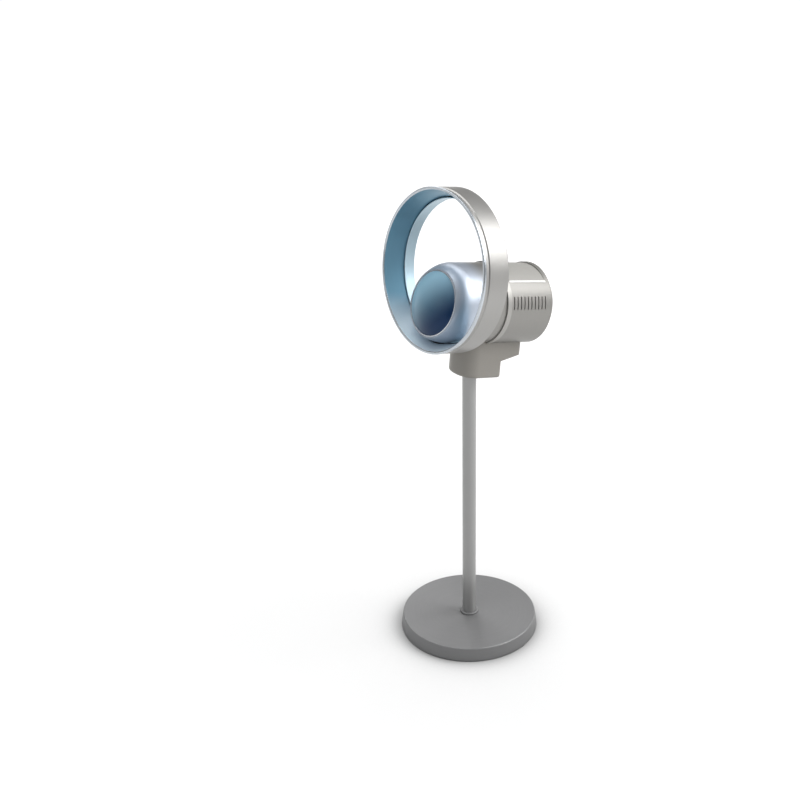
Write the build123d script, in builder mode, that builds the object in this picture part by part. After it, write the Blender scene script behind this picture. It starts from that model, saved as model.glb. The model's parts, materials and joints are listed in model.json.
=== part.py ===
from build123d import *
import os
from math import asin, cos, degrees, radians, sin, sqrt, tan

# Bladeless pedestal fan: a heavy round base, a plain pole, and a tilting head made of a
# horizontal blower pod with a tall ring nozzle round its nose.
# Millimetres, +Z up, origin on the floor at the pole's axis, the head blows towards -Y.

# ---- clearances ----
fit_gap = 0.1            # between pieces that are assembled and stay put
run_gap = 0.05           # radial, shaft in its bore
face_gap = 0.1           # between flat faces that turn on each other

# ---- base ----
base_bottom_radius = 139.0
base_flare = 4.0         # how much narrower the base is at its top
base_height = 29.0
base_edge = 1.2          # chamfer round the top edge
base_skin = 1.6
pad_thickness = 2.0
pad_inset = 11.0         # pad's edge inside the base's
plate_thickness = 2.0
plate_gap = 0.3
weight_thickness = 14.0
weight_inset = 9.0       # weight's edge inside the base's
weight_hole_radius = 12.0

base_screw_count = 6
base_screw_inset = 34.0  # screws' circle inside the base's edge
base_screw_radius = 2.0
base_screw_head_radius = 4.0
base_screw_length = 12.0
countersink = 45.0

inlet_height = 12.0      # centre of the power socket above the floor
inlet_width = 14.0
inlet_depth = 12.0       # height of the socket's body
inlet_length = 17.0
inlet_nose_width = 11.0
inlet_nose_height = 9.0
inlet_bore_radius = 3.2
inlet_bore_depth = 10.0
inlet_pin_radius = 1.0
inlet_pin_length = 8.5

lead_radius = 1.8
lead_bend = 9.0
lead_slot_width = 6.0
lead_slot_floor = 8.0    # height of the slot's floor above the floor the fan stands on

# ---- pole ----
pole_radius = 13.5
pole_wall = 2.0
pole_top = 572.0
collar_overhang = 5.0
collar_height = 4.0
collar_edge = 1.0
flange_radius = 42.0
flange_thickness = 4.0
flange_boss_wall = 6.5   # round the foot of the pole
flange_seat = 2.0        # flange left under the end of the pole
flange_hole_radius = 11.0
flange_bolt_count = 4
flange_bolt_inset = 11.0  # bolts' circle inside the flange's edge
flange_bolt_radius = 3.0
flange_bolt_head = 4.0
flange_bolt_head_width = 10.0
flange_bolt_reach = 10.0

# ---- swivel at the pole's top ----
spigot_radius = 8.0
bush_length = 42.0
bush_flange = 2.0
washer_thickness = 1.4
neck_flange_radius = 12.5
neck_flange = 4.5
tongue_width = 20.0
tongue_radius = 11.0
pivot_rise = 26.0        # tilt pin above the pole's top
pin_radius = 4.0
pin_cover = 4.5          # bracket left outside each end of the tilt pin
wire_hole_radius = 3.0
clip_thickness = 1.2
clip_overhang = 2.5
clip_groove = 1.0
gland_length = 12.0
gland_drop = 10.0        # from the spigot's lower end down to the gland
friction_washer = 1.5
friction_washer_radius = 9.0

# ---- head: place and tilt ----
head_tilt = 13.95        # pod's axis, nose up
ring_tilt = 12.4         # ring's axis, nose up
ring_lead = 1.8          # ring's front face ahead of the pod's first station
pod_ahead = 99.6         # pod's axis at its first station, ahead of the tilt pin
pod_above = 144.8        # and above it

# ---- blower pod, with stations counted along its axis from the ring's front face ----
pod_front_radius = 75.0
pod_rear_step = 2.0      # how much wider the rear shell is
pod_wall = 2.5
trim_start = 132.0       # bright trim band behind the ring
trim_width = 10.0
trim_proud = 0.8
rear_shell_length = 96.5
cap_length = 10.3
cap_round = 7.0
spigot_overlap = 4.0
spigot_wall = 2.0
cap_spigot = 5.0

# ---- nose and display lens ----
lens_slant = 8.6         # lens plane leans back by this much more than the pod
lens_station = 17.0
lens_inset = 15.6        # lens's edge inside the pod's front radius
lens_crown = 20.0
lens_thickness = 2.5
bezel_width = 2.0
bezel_depth = 6.0
bezel_ledge = 3.0
bezel_proud = 0.6
nose_wall = 2.0
nose_edge = 0.2          # nose opening beyond the bezel
nose_second_station = 27.0
nose_second_inset = 6.0
nose_second_slant = 6.3
nose_third_station = 40.0
nose_third_inset = 1.8
nose_third_slant = 3.5
nose_end = 58.0
carrier_thickness = 2.0
board_thickness = 1.6
display_board_inset = 13.4
digit_width = 13.0
digit_height = 22.0
digit_depth = 1.8
digit_pitch = 18.0
digit_count = 3

# ---- ring nozzle ----
ring_radius = 151.2
ring_depth = 60.0
ring_wall = 1.8
ring_rear_round = 5.0
duct_room = 14.5         # between the pod's underside and the ring's outside
rim_proud = 0.3
rim_width = 5.0
rim_depth = 6.0
rim_face = 1.8           # thickness of the rim's front where the inner band starts
rim_edge = 1.2
rim_tongue = 5.0
cove_depth = 1.6
cove_end = 12.0
cove_ramp = 2.0
ring_flare = 16.0        # how much narrower the ring is inside at its rear
throat_wall = 1.5
throat_flange = 7.0
lip_station = 38.0       # where the air slot's mouth is, behind the ring's front face
slot_gap = 2.2           # width of the air slot
diffuser_wall = 1.6
diffuser_curl_length = 12.0
diffuser_curl_rise = 3.0
spacer_count = 12
spacer_width = 5.0
spacer_length = 7.0
spacer_offset = 8.0      # spacers behind the slot's mouth

# ---- intake slots and top panel ----
slot_rows = 10
slot_pitch = 8.5
slot_width = 2.2
slot_offset = 6.0        # first slot behind the trim band
slot_start_angle = 64.0  # from the top, down the side
slot_angle = 18.0
panel_angle = 43.0       # half the panel's width, as an angle about the pod's axis
panel_front_margin = 2.0
panel_back_margin = 6.0
panel_flat = 2.4         # how much lower than a full cylinder the panel's crown is
trim_bar_width = 3.6
trim_bar_proud = 0.5
screen_thickness = 1.4
screen_gap = 0.5         # between a screen and the shell it lies in
screen_margin = 6.0      # screens past the slots' ends, as an angle

# ---- bracket under the pod, reaching out from the tilt pin ----
bracket_width = 72.0
bracket_front_reach = 34.0
bracket_back_reach = 55.5
bracket_step_reach = 100.0
bracket_depth = 23.5     # below the pin
bracket_step_rise = 11.5
bracket_step_end_rise = 23.4
bracket_lean = 8.2       # walls lean forwards of square to the pod by this much
bracket_wall = 3.0
bracket_front_round = 34.0
bracket_back_round = 7.0
bracket_edge_round = 5.0
pivot_boss_radius = 9.0
pole_slot_front = 4.5    # slot's run in front of the pole, for the head nodding down
pole_slot_rear = 6.0     # and behind the pole, for the head tipping up
pole_slot_gap = 1.5      # all round the pole besides that
pole_slot_drop = 14.0    # top of the slot below the pin
column_radius = 6.0
column_front_inset = 16.0   # front columns' axes inside the bracket's outer faces
column_back_inset = 8.5     # and the back ones'
column_length = 20.0
pod_screw_radius = 2.0
pod_screw_head_radius = 3.6
pod_screw_head = 3.0
pod_screw_inset = 12.9   # flat that the screw heads sit on, inside the pod's front radius
column_rise = 6.0        # top of the columns before the pod is cut out of them

# ---- saddle duct between pod and ring ----
saddle_width = 92.0
saddle_wall = 2.5
saddle_length = 22.0     # behind the ring
saddle_taper = 5.0       # how much it closes in on the pod over that length
saddle_end_wall = 2.5
port_start = 65.7
port_length = 14.5
port_width = 60.0
ring_port_inset = 5.7    # duct's passage inside the ring's outside
ring_port_rise = 5.0     # and outside the throat

# ---- blower ----
housing_room = 18.0      # between the housing and the pod's front radius
housing_wall = 2.0
housing_front = 86.0
housing_flange_offset = 1.0   # behind the start of the trim band
housing_flange = 3.0
inlet_lip = 12.0         # bell mouth's edge inside the housing
mount_size = 9.0
mount_offset = 10.0      # behind the housing's front
vane_count = 9
vane_thickness = 1.6
vane_offset = 2.0        # behind the housing's front
vane_length = 16.0
vane_lean = 20.0
hub_radius = 28.0
hub_wall = 2.0
can_wall = 2.0
can_length = 36.0
can_offset = 2.0         # can's rear face ahead of the vanes' rear edge
can_end_wall = 3.0
endcap_thickness = 5.0
bearing_radius = 8.0
bearing_width = 5.0
stator_offset = 10.0     # behind the can's front
stator_length = 16.0
stator_bore = 14.2
air_gap = 0.4            # between rotor and stator
shaft_radius = 3.0
shaft_nose = 4.0         # ahead of the can
shaft_tail = 7.0         # behind the impeller
blade_count = 9
blade_gap = 1.7          # between blade tips and housing
blade_pitch = 38.0
blade_twist = 16.0
blade_chord = 24.0
blade_thickness = 1.8
blade_edge = 0.8         # rounding of a blade's edges
impeller_gap = 4.0       # behind the vanes
impeller_length = 18.0
impeller_hub_radius = 24.0
nut_length = 5.0
nut_radius = 6.0
bulkhead_gap = 0.5       # behind the nose
bulkhead_thickness = 2.0
control_board_offset = 8.0    # behind the trim band
control_board_length = 72.0
control_board_width = 64.0
control_board_rise = 46.0  # above the pod's axis
post_radius = 3.0
post_inset = 6.0
chip_rise = 6.0

# ---- sizes that follow from those ----
base_top_radius = base_bottom_radius - base_flare
pad_radius = base_bottom_radius - pad_inset
weight_radius = base_bottom_radius - weight_inset
base_screw_circle = base_bottom_radius - base_screw_inset
collar_radius = pole_radius + collar_overhang
flange_bolt_circle = flange_radius - flange_bolt_inset
pivot_height = pole_top + pivot_rise
pin_length = bracket_width - 2 * pin_cover
clip_radius = spigot_radius + clip_overhang
pod_rear_radius = pod_front_radius + pod_rear_step
trim_radius = pod_rear_radius + trim_proud
trim_end = trim_start + trim_width
shell_end = trim_end + rear_shell_length
pod_end = shell_end + cap_length
lens_radius = pod_front_radius - lens_inset
nose_second_radius = pod_front_radius - nose_second_inset
nose_third_radius = pod_front_radius - nose_third_inset
display_board_radius = lens_radius - display_board_inset
pod_drop = ring_radius - duct_room - pod_front_radius    # pod's axis below the ring's
rim_radius = ring_radius + rim_proud
rim_inner_radius = rim_radius - rim_width
throat_radius = rim_inner_radius - ring_flare
spacer_station = lip_station + spacer_offset
first_slot = trim_end + slot_offset
slot_end_angle = slot_start_angle + slot_angle
panel_start = trim_end + panel_front_margin
panel_end = shell_end - panel_back_margin
pod_screw_seat = pod_screw_inset - pod_front_radius
bracket_top = pod_screw_seat + column_rise
saddle_end = ring_depth + saddle_length
saddle_end_radius = ring_radius - saddle_taper
saddle_duct_end = saddle_end - saddle_end_wall
port_end = port_start + port_length
ring_port_inner = throat_radius + ring_port_rise
ring_port_outer = ring_radius - ring_port_inset
housing_radius = pod_front_radius - housing_room
housing_flange_station = trim_start + housing_flange_offset
inlet_radius = housing_radius - inlet_lip
mount_station = housing_front + mount_offset
vane_front = housing_front + vane_offset
vane_back = vane_front + vane_length
can_back = vane_back - can_offset
can_front = can_back - can_length
stator_front = can_front + stator_offset
stator_back = stator_front + stator_length
rotor_radius = stator_bore - air_gap
impeller_front = vane_back + impeller_gap
impeller_back = impeller_front + impeller_length
blade_tip_radius = housing_radius - housing_wall - blade_gap
shaft_front = can_front - shaft_nose
shaft_back = impeller_back + shaft_tail
bulkhead_station = nose_end + bulkhead_gap
control_board_start = trim_end + control_board_offset

# ---- directions and planes of the head ----
tilt = radians(head_tilt)
back = Vector(0, cos(tilt), -sin(tilt))
rise = Vector(0, sin(tilt), cos(tilt))
pod_centre = Vector(0, -pod_ahead, pivot_height + pod_above)
ring_lean = radians(ring_tilt)
ring_back = Vector(0, cos(ring_lean), -sin(ring_lean))
ring_centre = pod_centre + rise * pod_drop - back * ring_lead
ring_axis = Axis(ring_centre, ring_back)
pod_axis = Axis(pod_centre, back)
ring_side = Plane(ring_centre, x_dir=ring_back, z_dir=(1, 0, 0))   # (station, height above ring axis)
pod_side = Plane(pod_centre, x_dir=back, z_dir=(1, 0, 0))          # (station, height above pod axis)

# The tilt pin's place in the head, and the bracket's outline round it.
pivot_station = pod_ahead * cos(tilt) + pod_above * sin(tilt)
pivot_level = pod_ahead * sin(tilt) - pod_above * cos(tilt)
bracket_front = pivot_station - bracket_front_reach
bracket_back = pivot_station + bracket_back_reach
bracket_step_back = pivot_station + bracket_step_reach
bracket_bottom = pivot_level - bracket_depth
bracket_step = pivot_level + bracket_step_rise
bracket_step_end = pivot_level + bracket_step_end_rise
wall_run = tan(radians(bracket_lean))
wall_direction = rise - back * wall_run


def across(station):
    """Plane square to the pod's axis at a station, looking forward: (x, height above pod axis)."""
    return Plane(pod_centre + back * station, x_dir=(1, 0, 0), z_dir=-back)


def ring_across(station):
    """Plane square to the ring's axis at a station, looking forward: (x, height above ring axis)."""
    return Plane(ring_centre + ring_back * station, x_dir=(1, 0, 0), z_dir=-ring_back)


def deck(height):
    """Plane along the pod at a height above its axis: (x, station)."""
    return Plane(pod_centre + rise * height, x_dir=(1, 0, 0), z_dir=rise)


def save(piece, label):
    """Name a finished piece and write it."""
    piece.part.label = label
    export_step(piece.part, f"parts/{label}.step")


def turned(plane, axis, outline):
    """Solid of revolution from a closed outline of straight lines."""
    with BuildPart() as piece:
        with BuildSketch(plane):
            with BuildLine():
                Polyline(*outline, close=True)
            make_face()
        revolve(axis=axis)
    return piece


def tube(plane, axis, start, end, inner, outer):
    """Plain tube or disc about an axis, between two stations."""
    return turned(plane, axis, [(start, inner), (end, inner), (end, outer), (start, outer)])


os.makedirs("parts", exist_ok=True)

# =====================================================================  base
plate_top = pad_thickness + plate_thickness
weight_top = plate_top + weight_thickness
cover_underside = base_height - base_skin
flare = base_flare / (base_height - pad_thickness)


def skirt_radius(height):
    """Outer radius of the flared skirt at a height."""
    return base_bottom_radius - flare * (height - pad_thickness)


with BuildPart() as base_pad:
    with BuildSketch(Plane.XY):
        Circle(pad_radius)
    extrude(amount=pad_thickness)
save(base_pad, "base_pad")

with BuildPart() as base_cover:
    with BuildSketch(Plane.XZ):
        with BuildLine():
            Polyline(
                (pole_radius + plate_gap, base_height),
                (base_top_radius - base_edge, base_height),
                (skirt_radius(base_height - base_edge), base_height - base_edge),
                (base_bottom_radius, pad_thickness),
                (base_bottom_radius - base_skin, pad_thickness),
                (skirt_radius(cover_underside) - base_skin, cover_underside),
                (pole_radius + plate_gap, cover_underside),
                close=True,
            )
        make_face()
    revolve(axis=Axis.Z)
    with BuildSketch(Plane.XZ.offset(-base_top_radius + inlet_length)):
        with Locations((0, inlet_height)):
            Rectangle(inlet_nose_width + 2 * fit_gap, inlet_nose_height + 2 * fit_gap)
    extrude(amount=-2 * inlet_length, mode=Mode.SUBTRACT)
save(base_cover, "base_cover")

with BuildPart() as base_plate:
    with BuildSketch(Plane.XY.offset(pad_thickness)):
        Circle(skirt_radius(plate_top) - base_skin - plate_gap)
    extrude(amount=plate_thickness)
    with BuildSketch(Plane.XY.offset(pad_thickness)):
        with PolarLocations(base_screw_circle, base_screw_count):
            Circle(base_screw_head_radius + fit_gap)
    extrude(amount=plate_thickness, mode=Mode.SUBTRACT, taper=countersink)
save(base_plate, "base_plate")

inlet_top_inside = skirt_radius(inlet_height + inlet_depth / 2) - base_skin
inlet_end = sqrt(inlet_top_inside**2 - (inlet_width / 2)**2) - plate_gap
inlet_back = inlet_end - inlet_length
with BuildPart() as base_weight:
    with BuildSketch(Plane.XY.offset(plate_top)):
        Circle(weight_radius)
        Circle(weight_hole_radius, mode=Mode.SUBTRACT)
        with PolarLocations(base_screw_circle, base_screw_count):
            Circle(base_screw_radius + run_gap, mode=Mode.SUBTRACT)
        with PolarLocations(flange_bolt_circle, flange_bolt_count, start_angle=45):
            Circle(flange_bolt_radius + run_gap, mode=Mode.SUBTRACT)
    extrude(amount=weight_thickness)
    with BuildSketch(Plane.XY.offset(inlet_height - inlet_depth / 2 - fit_gap)):
        with Locations((0, inlet_back + inlet_length / 2)):
            Rectangle(inlet_width + 2 * fit_gap, inlet_length + 2 * fit_gap)
    extrude(amount=inlet_depth + weight_thickness, mode=Mode.SUBTRACT)
    with BuildSketch(Plane.XY.offset(lead_slot_floor)):
        with Locations((0, inlet_back / 2)):
            Rectangle(lead_slot_width, inlet_back)
    extrude(amount=weight_thickness, mode=Mode.SUBTRACT)
save(base_weight, "base_weight")

with BuildPart() as base_screws:
    with BuildSketch(Plane.XY.offset(pad_thickness)):
        with PolarLocations(base_screw_circle, base_screw_count):
            Circle(base_screw_head_radius)
    extrude(amount=plate_thickness, taper=countersink)
    with BuildSketch(Plane.XY.offset(pad_thickness)):
        with PolarLocations(base_screw_circle, base_screw_count):
            Circle(base_screw_radius)
    extrude(amount=base_screw_length)
save(base_screws, "base_screws")

inlet_face = skirt_radius(inlet_height)
with BuildPart() as power_inlet:
    with BuildSketch(Plane.XZ.offset(-inlet_back)):
        with Locations((0, inlet_height)):
            Rectangle(inlet_width, inlet_depth)
    extrude(amount=-inlet_length)
    with BuildSketch(Plane.XZ.offset(-inlet_back)):
        with Locations((0, inlet_height)):
            Rectangle(inlet_nose_width, inlet_nose_height)
    extrude(amount=-(inlet_face - inlet_back))
    with BuildSketch(Plane.XZ.offset(-inlet_face)):
        with Locations((0, inlet_height)):
            Circle(inlet_bore_radius)
    extrude(amount=inlet_bore_depth, mode=Mode.SUBTRACT)
save(power_inlet, "power_inlet")

with BuildPart() as inlet_pin:
    with BuildSketch(Plane.XZ.offset(inlet_bore_depth - inlet_face)):
        with Locations((0, inlet_height)):
            Circle(inlet_pin_radius)
    extrude(amount=-inlet_pin_length)
save(inlet_pin, "inlet_pin")

# =====================================================================  pole
pole_foot = weight_top + flange_seat
bush_bottom = pole_top - bush_length
spigot_bottom = bush_bottom - 2 * clip_thickness - clip_groove
gland_top = spigot_bottom - gland_drop
gland_bottom = gland_top - gland_length

with BuildPart() as pole_flange:
    with BuildSketch(Plane.XY.offset(weight_top)):
        Circle(flange_radius)
        with PolarLocations(flange_bolt_circle, flange_bolt_count, start_angle=45):
            Circle(flange_bolt_radius + run_gap, mode=Mode.SUBTRACT)
    extrude(amount=flange_thickness)
    with BuildSketch(Plane.XY.offset(weight_top)):
        Circle(pole_radius + flange_boss_wall)
    extrude(amount=cover_underside - weight_top)
    with BuildSketch(Plane.XY.offset(pole_foot)):
        Circle(pole_radius + run_gap)
    extrude(amount=base_height, mode=Mode.SUBTRACT)
    with BuildSketch(Plane.XY.offset(weight_top)):
        Circle(flange_hole_radius)
    extrude(amount=base_height, mode=Mode.SUBTRACT)
save(pole_flange, "pole_flange")

with BuildPart() as flange_bolts:
    with BuildSketch(Plane.XY.offset(weight_top + flange_thickness)):
        with PolarLocations(flange_bolt_circle, flange_bolt_count, start_angle=45):
            RegularPolygon(flange_bolt_head_width / 2, 6, major_radius=False)
    extrude(amount=flange_bolt_head)
    with BuildSketch(Plane.XY.offset(weight_top - flange_bolt_reach)):
        with PolarLocations(flange_bolt_circle, flange_bolt_count, start_angle=45):
            Circle(flange_bolt_radius)
    extrude(amount=flange_bolt_reach + flange_thickness)
save(flange_bolts, "flange_bolts")

with BuildPart() as pole:
    with BuildSketch(Plane.XY.offset(pole_foot)):
        Circle(pole_radius)
        Circle(pole_radius - pole_wall, mode=Mode.SUBTRACT)
    extrude(amount=pole_top - pole_foot)
save(pole, "pole")

with BuildPart() as pole_collar:
    with BuildSketch(Plane.XY.offset(base_height)):
        Circle(collar_radius)
    extrude(amount=collar_height)
    chamfer(pole_collar.edges().group_by(Axis.Z)[-1], length=collar_edge)
    with BuildSketch(Plane.XY.offset(base_height)):
        Circle(pole_radius + run_gap)
    extrude(amount=collar_height, mode=Mode.SUBTRACT)
save(pole_collar, "pole_collar")

with BuildPart() as lead_gland:
    with BuildSketch(Plane.XY.offset(gland_bottom)):
        Circle(pole_radius - pole_wall - run_gap)
        Circle(lead_radius + run_gap, mode=Mode.SUBTRACT)
    extrude(amount=gland_length)
save(lead_gland, "lead_gland")

with BuildPart() as power_lead:
    with BuildLine() as lead_path:
        FilletPolyline(
            (0, inlet_back, inlet_height),
            (0, 0, inlet_height),
            (0, 0, gland_top),
            radius=lead_bend,
        )
    with BuildSketch(Plane.XZ.offset(-inlet_back)):
        with Locations((0, inlet_height)):
            Circle(lead_radius)
    sweep(path=lead_path.wire())
save(power_lead, "power_lead")

with BuildPart() as pole_bush:
    with BuildSketch(Plane.XY.offset(bush_bottom)):
        Circle(pole_radius - pole_wall - run_gap)
    extrude(amount=bush_length)
    with BuildSketch(Plane.XY.offset(pole_top)):
        Circle(pole_radius)
    extrude(amount=bush_flange)
    with BuildSketch(Plane.XY.offset(bush_bottom)):
        Circle(spigot_radius + run_gap)
    extrude(amount=bush_length + bush_flange, mode=Mode.SUBTRACT)
save(pole_bush, "pole_bush")

# =====================================================================  swivel
washer_bottom = pole_top + bush_flange + face_gap
neck_bottom = washer_bottom + washer_thickness
neck_deck = neck_bottom + neck_flange

with BuildPart() as thrust_washer:
    with BuildSketch(Plane.XY.offset(washer_bottom)):
        Circle(neck_flange_radius)
        Circle(spigot_radius + fit_gap, mode=Mode.SUBTRACT)
    extrude(amount=washer_thickness)
save(thrust_washer, "thrust_washer")

with BuildPart() as swivel_neck:
    with BuildSketch(Plane.XY.offset(spigot_bottom)):
        Circle(spigot_radius)
    extrude(amount=neck_bottom - spigot_bottom)
    with BuildSketch(Plane.XY.offset(neck_bottom)):
        Circle(neck_flange_radius)
    extrude(amount=neck_flange)
    with BuildSketch(Plane.YZ):
        with Locations((0, pivot_height)):
            Circle(tongue_radius)
        with Locations((0, (neck_deck + pivot_height) / 2)):
            Rectangle(2 * tongue_radius, pivot_height - neck_deck)
    extrude(amount=tongue_width / 2, both=True)
    with BuildSketch(Plane.YZ):
        with Locations((0, pivot_height)):
            Circle(pin_radius + run_gap)
    extrude(amount=tongue_width, both=True, mode=Mode.SUBTRACT)
    with BuildSketch(Plane.XY.offset(spigot_bottom)):
        Circle(wire_hole_radius)
    extrude(amount=neck_deck - spigot_bottom + wire_hole_radius, mode=Mode.SUBTRACT)
    with BuildSketch(Plane.XZ):
        with Locations((0, neck_deck + wire_hole_radius)):
            Circle(wire_hole_radius)
    extrude(amount=-2 * tongue_radius, mode=Mode.SUBTRACT)
    with BuildSketch(Plane.XY.offset(spigot_bottom + clip_thickness)):
        Circle(spigot_radius + fit_gap)
        Circle(spigot_radius - clip_groove, mode=Mode.SUBTRACT)
    extrude(amount=clip_thickness + fit_gap, mode=Mode.SUBTRACT)
save(swivel_neck, "swivel_neck")

with BuildPart() as spigot_clip:
    with BuildSketch(Plane.XY.offset(spigot_bottom + clip_thickness)):
        Circle(clip_radius)
        Circle(spigot_radius - clip_groove + fit_gap, mode=Mode.SUBTRACT)
        with Locations((0, clip_radius)):
            Rectangle(spigot_radius, 2 * clip_radius, mode=Mode.SUBTRACT)
    extrude(amount=clip_thickness)
save(spigot_clip, "spigot_clip")

with BuildPart() as friction_washers:
    with BuildSketch(Plane.YZ.offset(tongue_width / 2)):
        with Locations((0, pivot_height)):
            Circle(friction_washer_radius)
            Circle(pin_radius + fit_gap, mode=Mode.SUBTRACT)
    extrude(amount=friction_washer)
    mirror(about=Plane.YZ)
save(friction_washers, "friction_washers")

# =====================================================================  bracket

def leaning(station, level):
    """Station at a level of a wall that starts at the given station at the bracket's bottom."""
    return station - wall_run * (level - bracket_bottom)


def stepped_block(inset):
    """The bracket's stepped block, or with an inset the hollow inside its walls."""
    floor_level = bracket_bottom + inset
    step_level = bracket_step + inset
    step_end_level = bracket_step_end + inset
    with BuildPart() as block:
        with BuildSketch(pod_side):
            with BuildLine():
                Polyline(
                    (leaning(bracket_front, bracket_top) + inset, bracket_top),
                    (leaning(bracket_front, floor_level) + inset, floor_level),
                    (leaning(bracket_back, floor_level) - inset, floor_level),
                    (leaning(bracket_back, step_level) - inset, step_level),
                    (leaning(bracket_step_back, step_end_level) - inset, step_end_level),
                    (leaning(bracket_step_back, bracket_top) - inset, bracket_top),
                    close=True,
                )
            make_face()
        extrude(amount=bracket_width / 2 - inset, both=True)
        uprights = block.edges().filter_by(Axis(pod_centre, wall_direction))
        by_station = uprights.sort_by(pod_axis)
        fillet(by_station[:2], radius=bracket_front_round - inset)
        fillet(by_station[2:], radius=bracket_back_round - inset)
    return block


with BuildPart() as pod_envelope:
    with BuildSketch(pod_side):
        with BuildLine():
            Polyline(
                (nose_end - bracket_width, 0),
                (nose_end - bracket_width, pod_front_radius + fit_gap),
                (trim_start - fit_gap, pod_front_radius + fit_gap),
                (trim_start - fit_gap, trim_radius + fit_gap),
                (trim_end + fit_gap, trim_radius + fit_gap),
                (trim_end + fit_gap, pod_rear_radius + fit_gap),
                (pod_end, pod_rear_radius + fit_gap),
                (pod_end, 0),
                close=True,
            )
        make_face()
    revolve(axis=pod_axis)

front_column_x = bracket_width / 2 - column_front_inset
front_column_station = leaning(bracket_front, bracket_top) + column_front_inset
back_column_x = bracket_width / 2 - column_back_inset
back_column_station = leaning(bracket_step_back, bracket_top) - column_back_inset
front_columns = [(-front_column_x, front_column_station), (front_column_x, front_column_station)]
back_columns = [(-back_column_x, back_column_station), (back_column_x, back_column_station)]
column_places = front_columns + back_columns
boss_face = tongue_width / 2 + friction_washer + face_gap

with BuildPart() as tilt_bracket:
    add(stepped_block(0).part)
    bottom_edges = tilt_bracket.faces().sort_by(Axis(pod_centre, rise))[0].edges()
    fillet(bottom_edges, radius=bracket_edge_round)
    add(stepped_block(bracket_wall).part, mode=Mode.SUBTRACT)
    with BuildSketch(Plane.YZ.offset(boss_face)):
        with Locations((0, pivot_height)):
            Circle(pivot_boss_radius)
    extrude(amount=bracket_width / 2 - bracket_wall - boss_face)
    with BuildSketch(Plane.YZ.offset(-boss_face)):
        with Locations((0, pivot_height)):
            Circle(pivot_boss_radius)
    extrude(amount=-(bracket_width / 2 - bracket_wall - boss_face))
    with BuildSketch(Plane.YZ):
        with Locations((0, pivot_height)):
            Circle(pin_radius)
    extrude(amount=pin_length / 2, both=True, mode=Mode.SUBTRACT)
    with BuildSketch(deck(bracket_top)):
        with Locations(*column_places):
            Circle(column_radius)
    extrude(amount=-column_length)
    with BuildSketch(deck(bracket_top)):
        with Locations(*column_places):
            Circle(pod_screw_radius + run_gap)
    extrude(amount=-column_length, mode=Mode.SUBTRACT)
    add(pod_envelope.part, mode=Mode.SUBTRACT)
    with BuildSketch(Plane.XY.offset(pivot_height - pole_slot_drop)):
        with Locations((0, (pole_slot_rear - pole_slot_front) / 2)):
            SlotCenterToCenter(
                pole_slot_front + pole_slot_rear,
                2 * (pole_radius + pole_slot_gap),
                rotation=90,
            )
    extrude(amount=-bracket_width, mode=Mode.SUBTRACT)
save(tilt_bracket, "tilt_bracket")

with BuildPart() as tilt_pin:
    with BuildSketch(Plane.YZ):
        with Locations((0, pivot_height)):
            Circle(pin_radius)
    extrude(amount=pin_length / 2, both=True)
save(tilt_pin, "tilt_pin")

with BuildPart() as bracket_screws:
    with BuildSketch(deck(pod_screw_seat)):
        with Locations(*column_places):
            Circle(pod_screw_head_radius)
    extrude(amount=pod_screw_head)
    with BuildSketch(deck(pod_screw_seat)):
        with Locations(*column_places):
            Circle(pod_screw_radius)
    extrude(amount=-(column_length + bracket_top - pod_screw_seat) + face_gap)
save(bracket_screws, "bracket_screws")

# =====================================================================  pod shells


def slanted(station, slant):
    """Plane through the pod's axis at a station, leaning back by an angle: (x, up)."""
    lean = radians(slant)
    normal = -back * cos(lean) + rise * sin(lean)
    return Plane(pod_centre + back * station, x_dir=(1, 0, 0), z_dir=normal)


nose_radius = lens_radius + bezel_width + nose_edge + nose_wall


def nose(inset, reach):
    """Nose of the pod from the lens plane to the straight body, lofted through circles."""
    with BuildPart() as body:
        with BuildSketch(slanted(lens_station - reach, lens_slant)):
            Circle(nose_radius - inset)
        with BuildSketch(slanted(nose_second_station, nose_second_slant)):
            Circle(nose_second_radius - inset)
        with BuildSketch(slanted(nose_third_station, nose_third_slant)):
            Circle(nose_third_radius - inset)
        with BuildSketch(across(nose_end)):
            Circle(pod_front_radius - inset)
        loft()
    return body


with BuildPart() as pod_front_shell:
    add(nose(0, 0).part)
    with BuildSketch(across(nose_end)):
        Circle(pod_front_radius)
    extrude(amount=-(trim_start - nose_end))
    add(nose(nose_wall, 0).part, mode=Mode.SUBTRACT)
    with BuildSketch(across(nose_end)):
        Circle(pod_front_radius - nose_wall)
    extrude(amount=-(trim_start - nose_end), mode=Mode.SUBTRACT)
    with BuildSketch(deck(pod_screw_seat)):
        with Locations(*front_columns):
            Circle(column_radius)
    extrude(amount=-column_length)
    with BuildSketch(deck(pod_screw_seat)):
        with Locations(*front_columns):
            Circle(pod_screw_radius + fit_gap)
    extrude(amount=-column_length, mode=Mode.SUBTRACT)
    with BuildSketch(across(trim_start)):
        Circle(2 * pod_front_radius)
        Circle(pod_front_radius, mode=Mode.SUBTRACT)
    extrude(amount=trim_start - nose_end, mode=Mode.SUBTRACT)
    with BuildSketch(deck(0)):
        with Locations((0, (port_start + port_end) / 2)):
            Rectangle(port_width, port_end - port_start)
    extrude(amount=-2 * pod_front_radius, mode=Mode.SUBTRACT)
save(pod_front_shell, "pod_front_shell")

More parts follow.
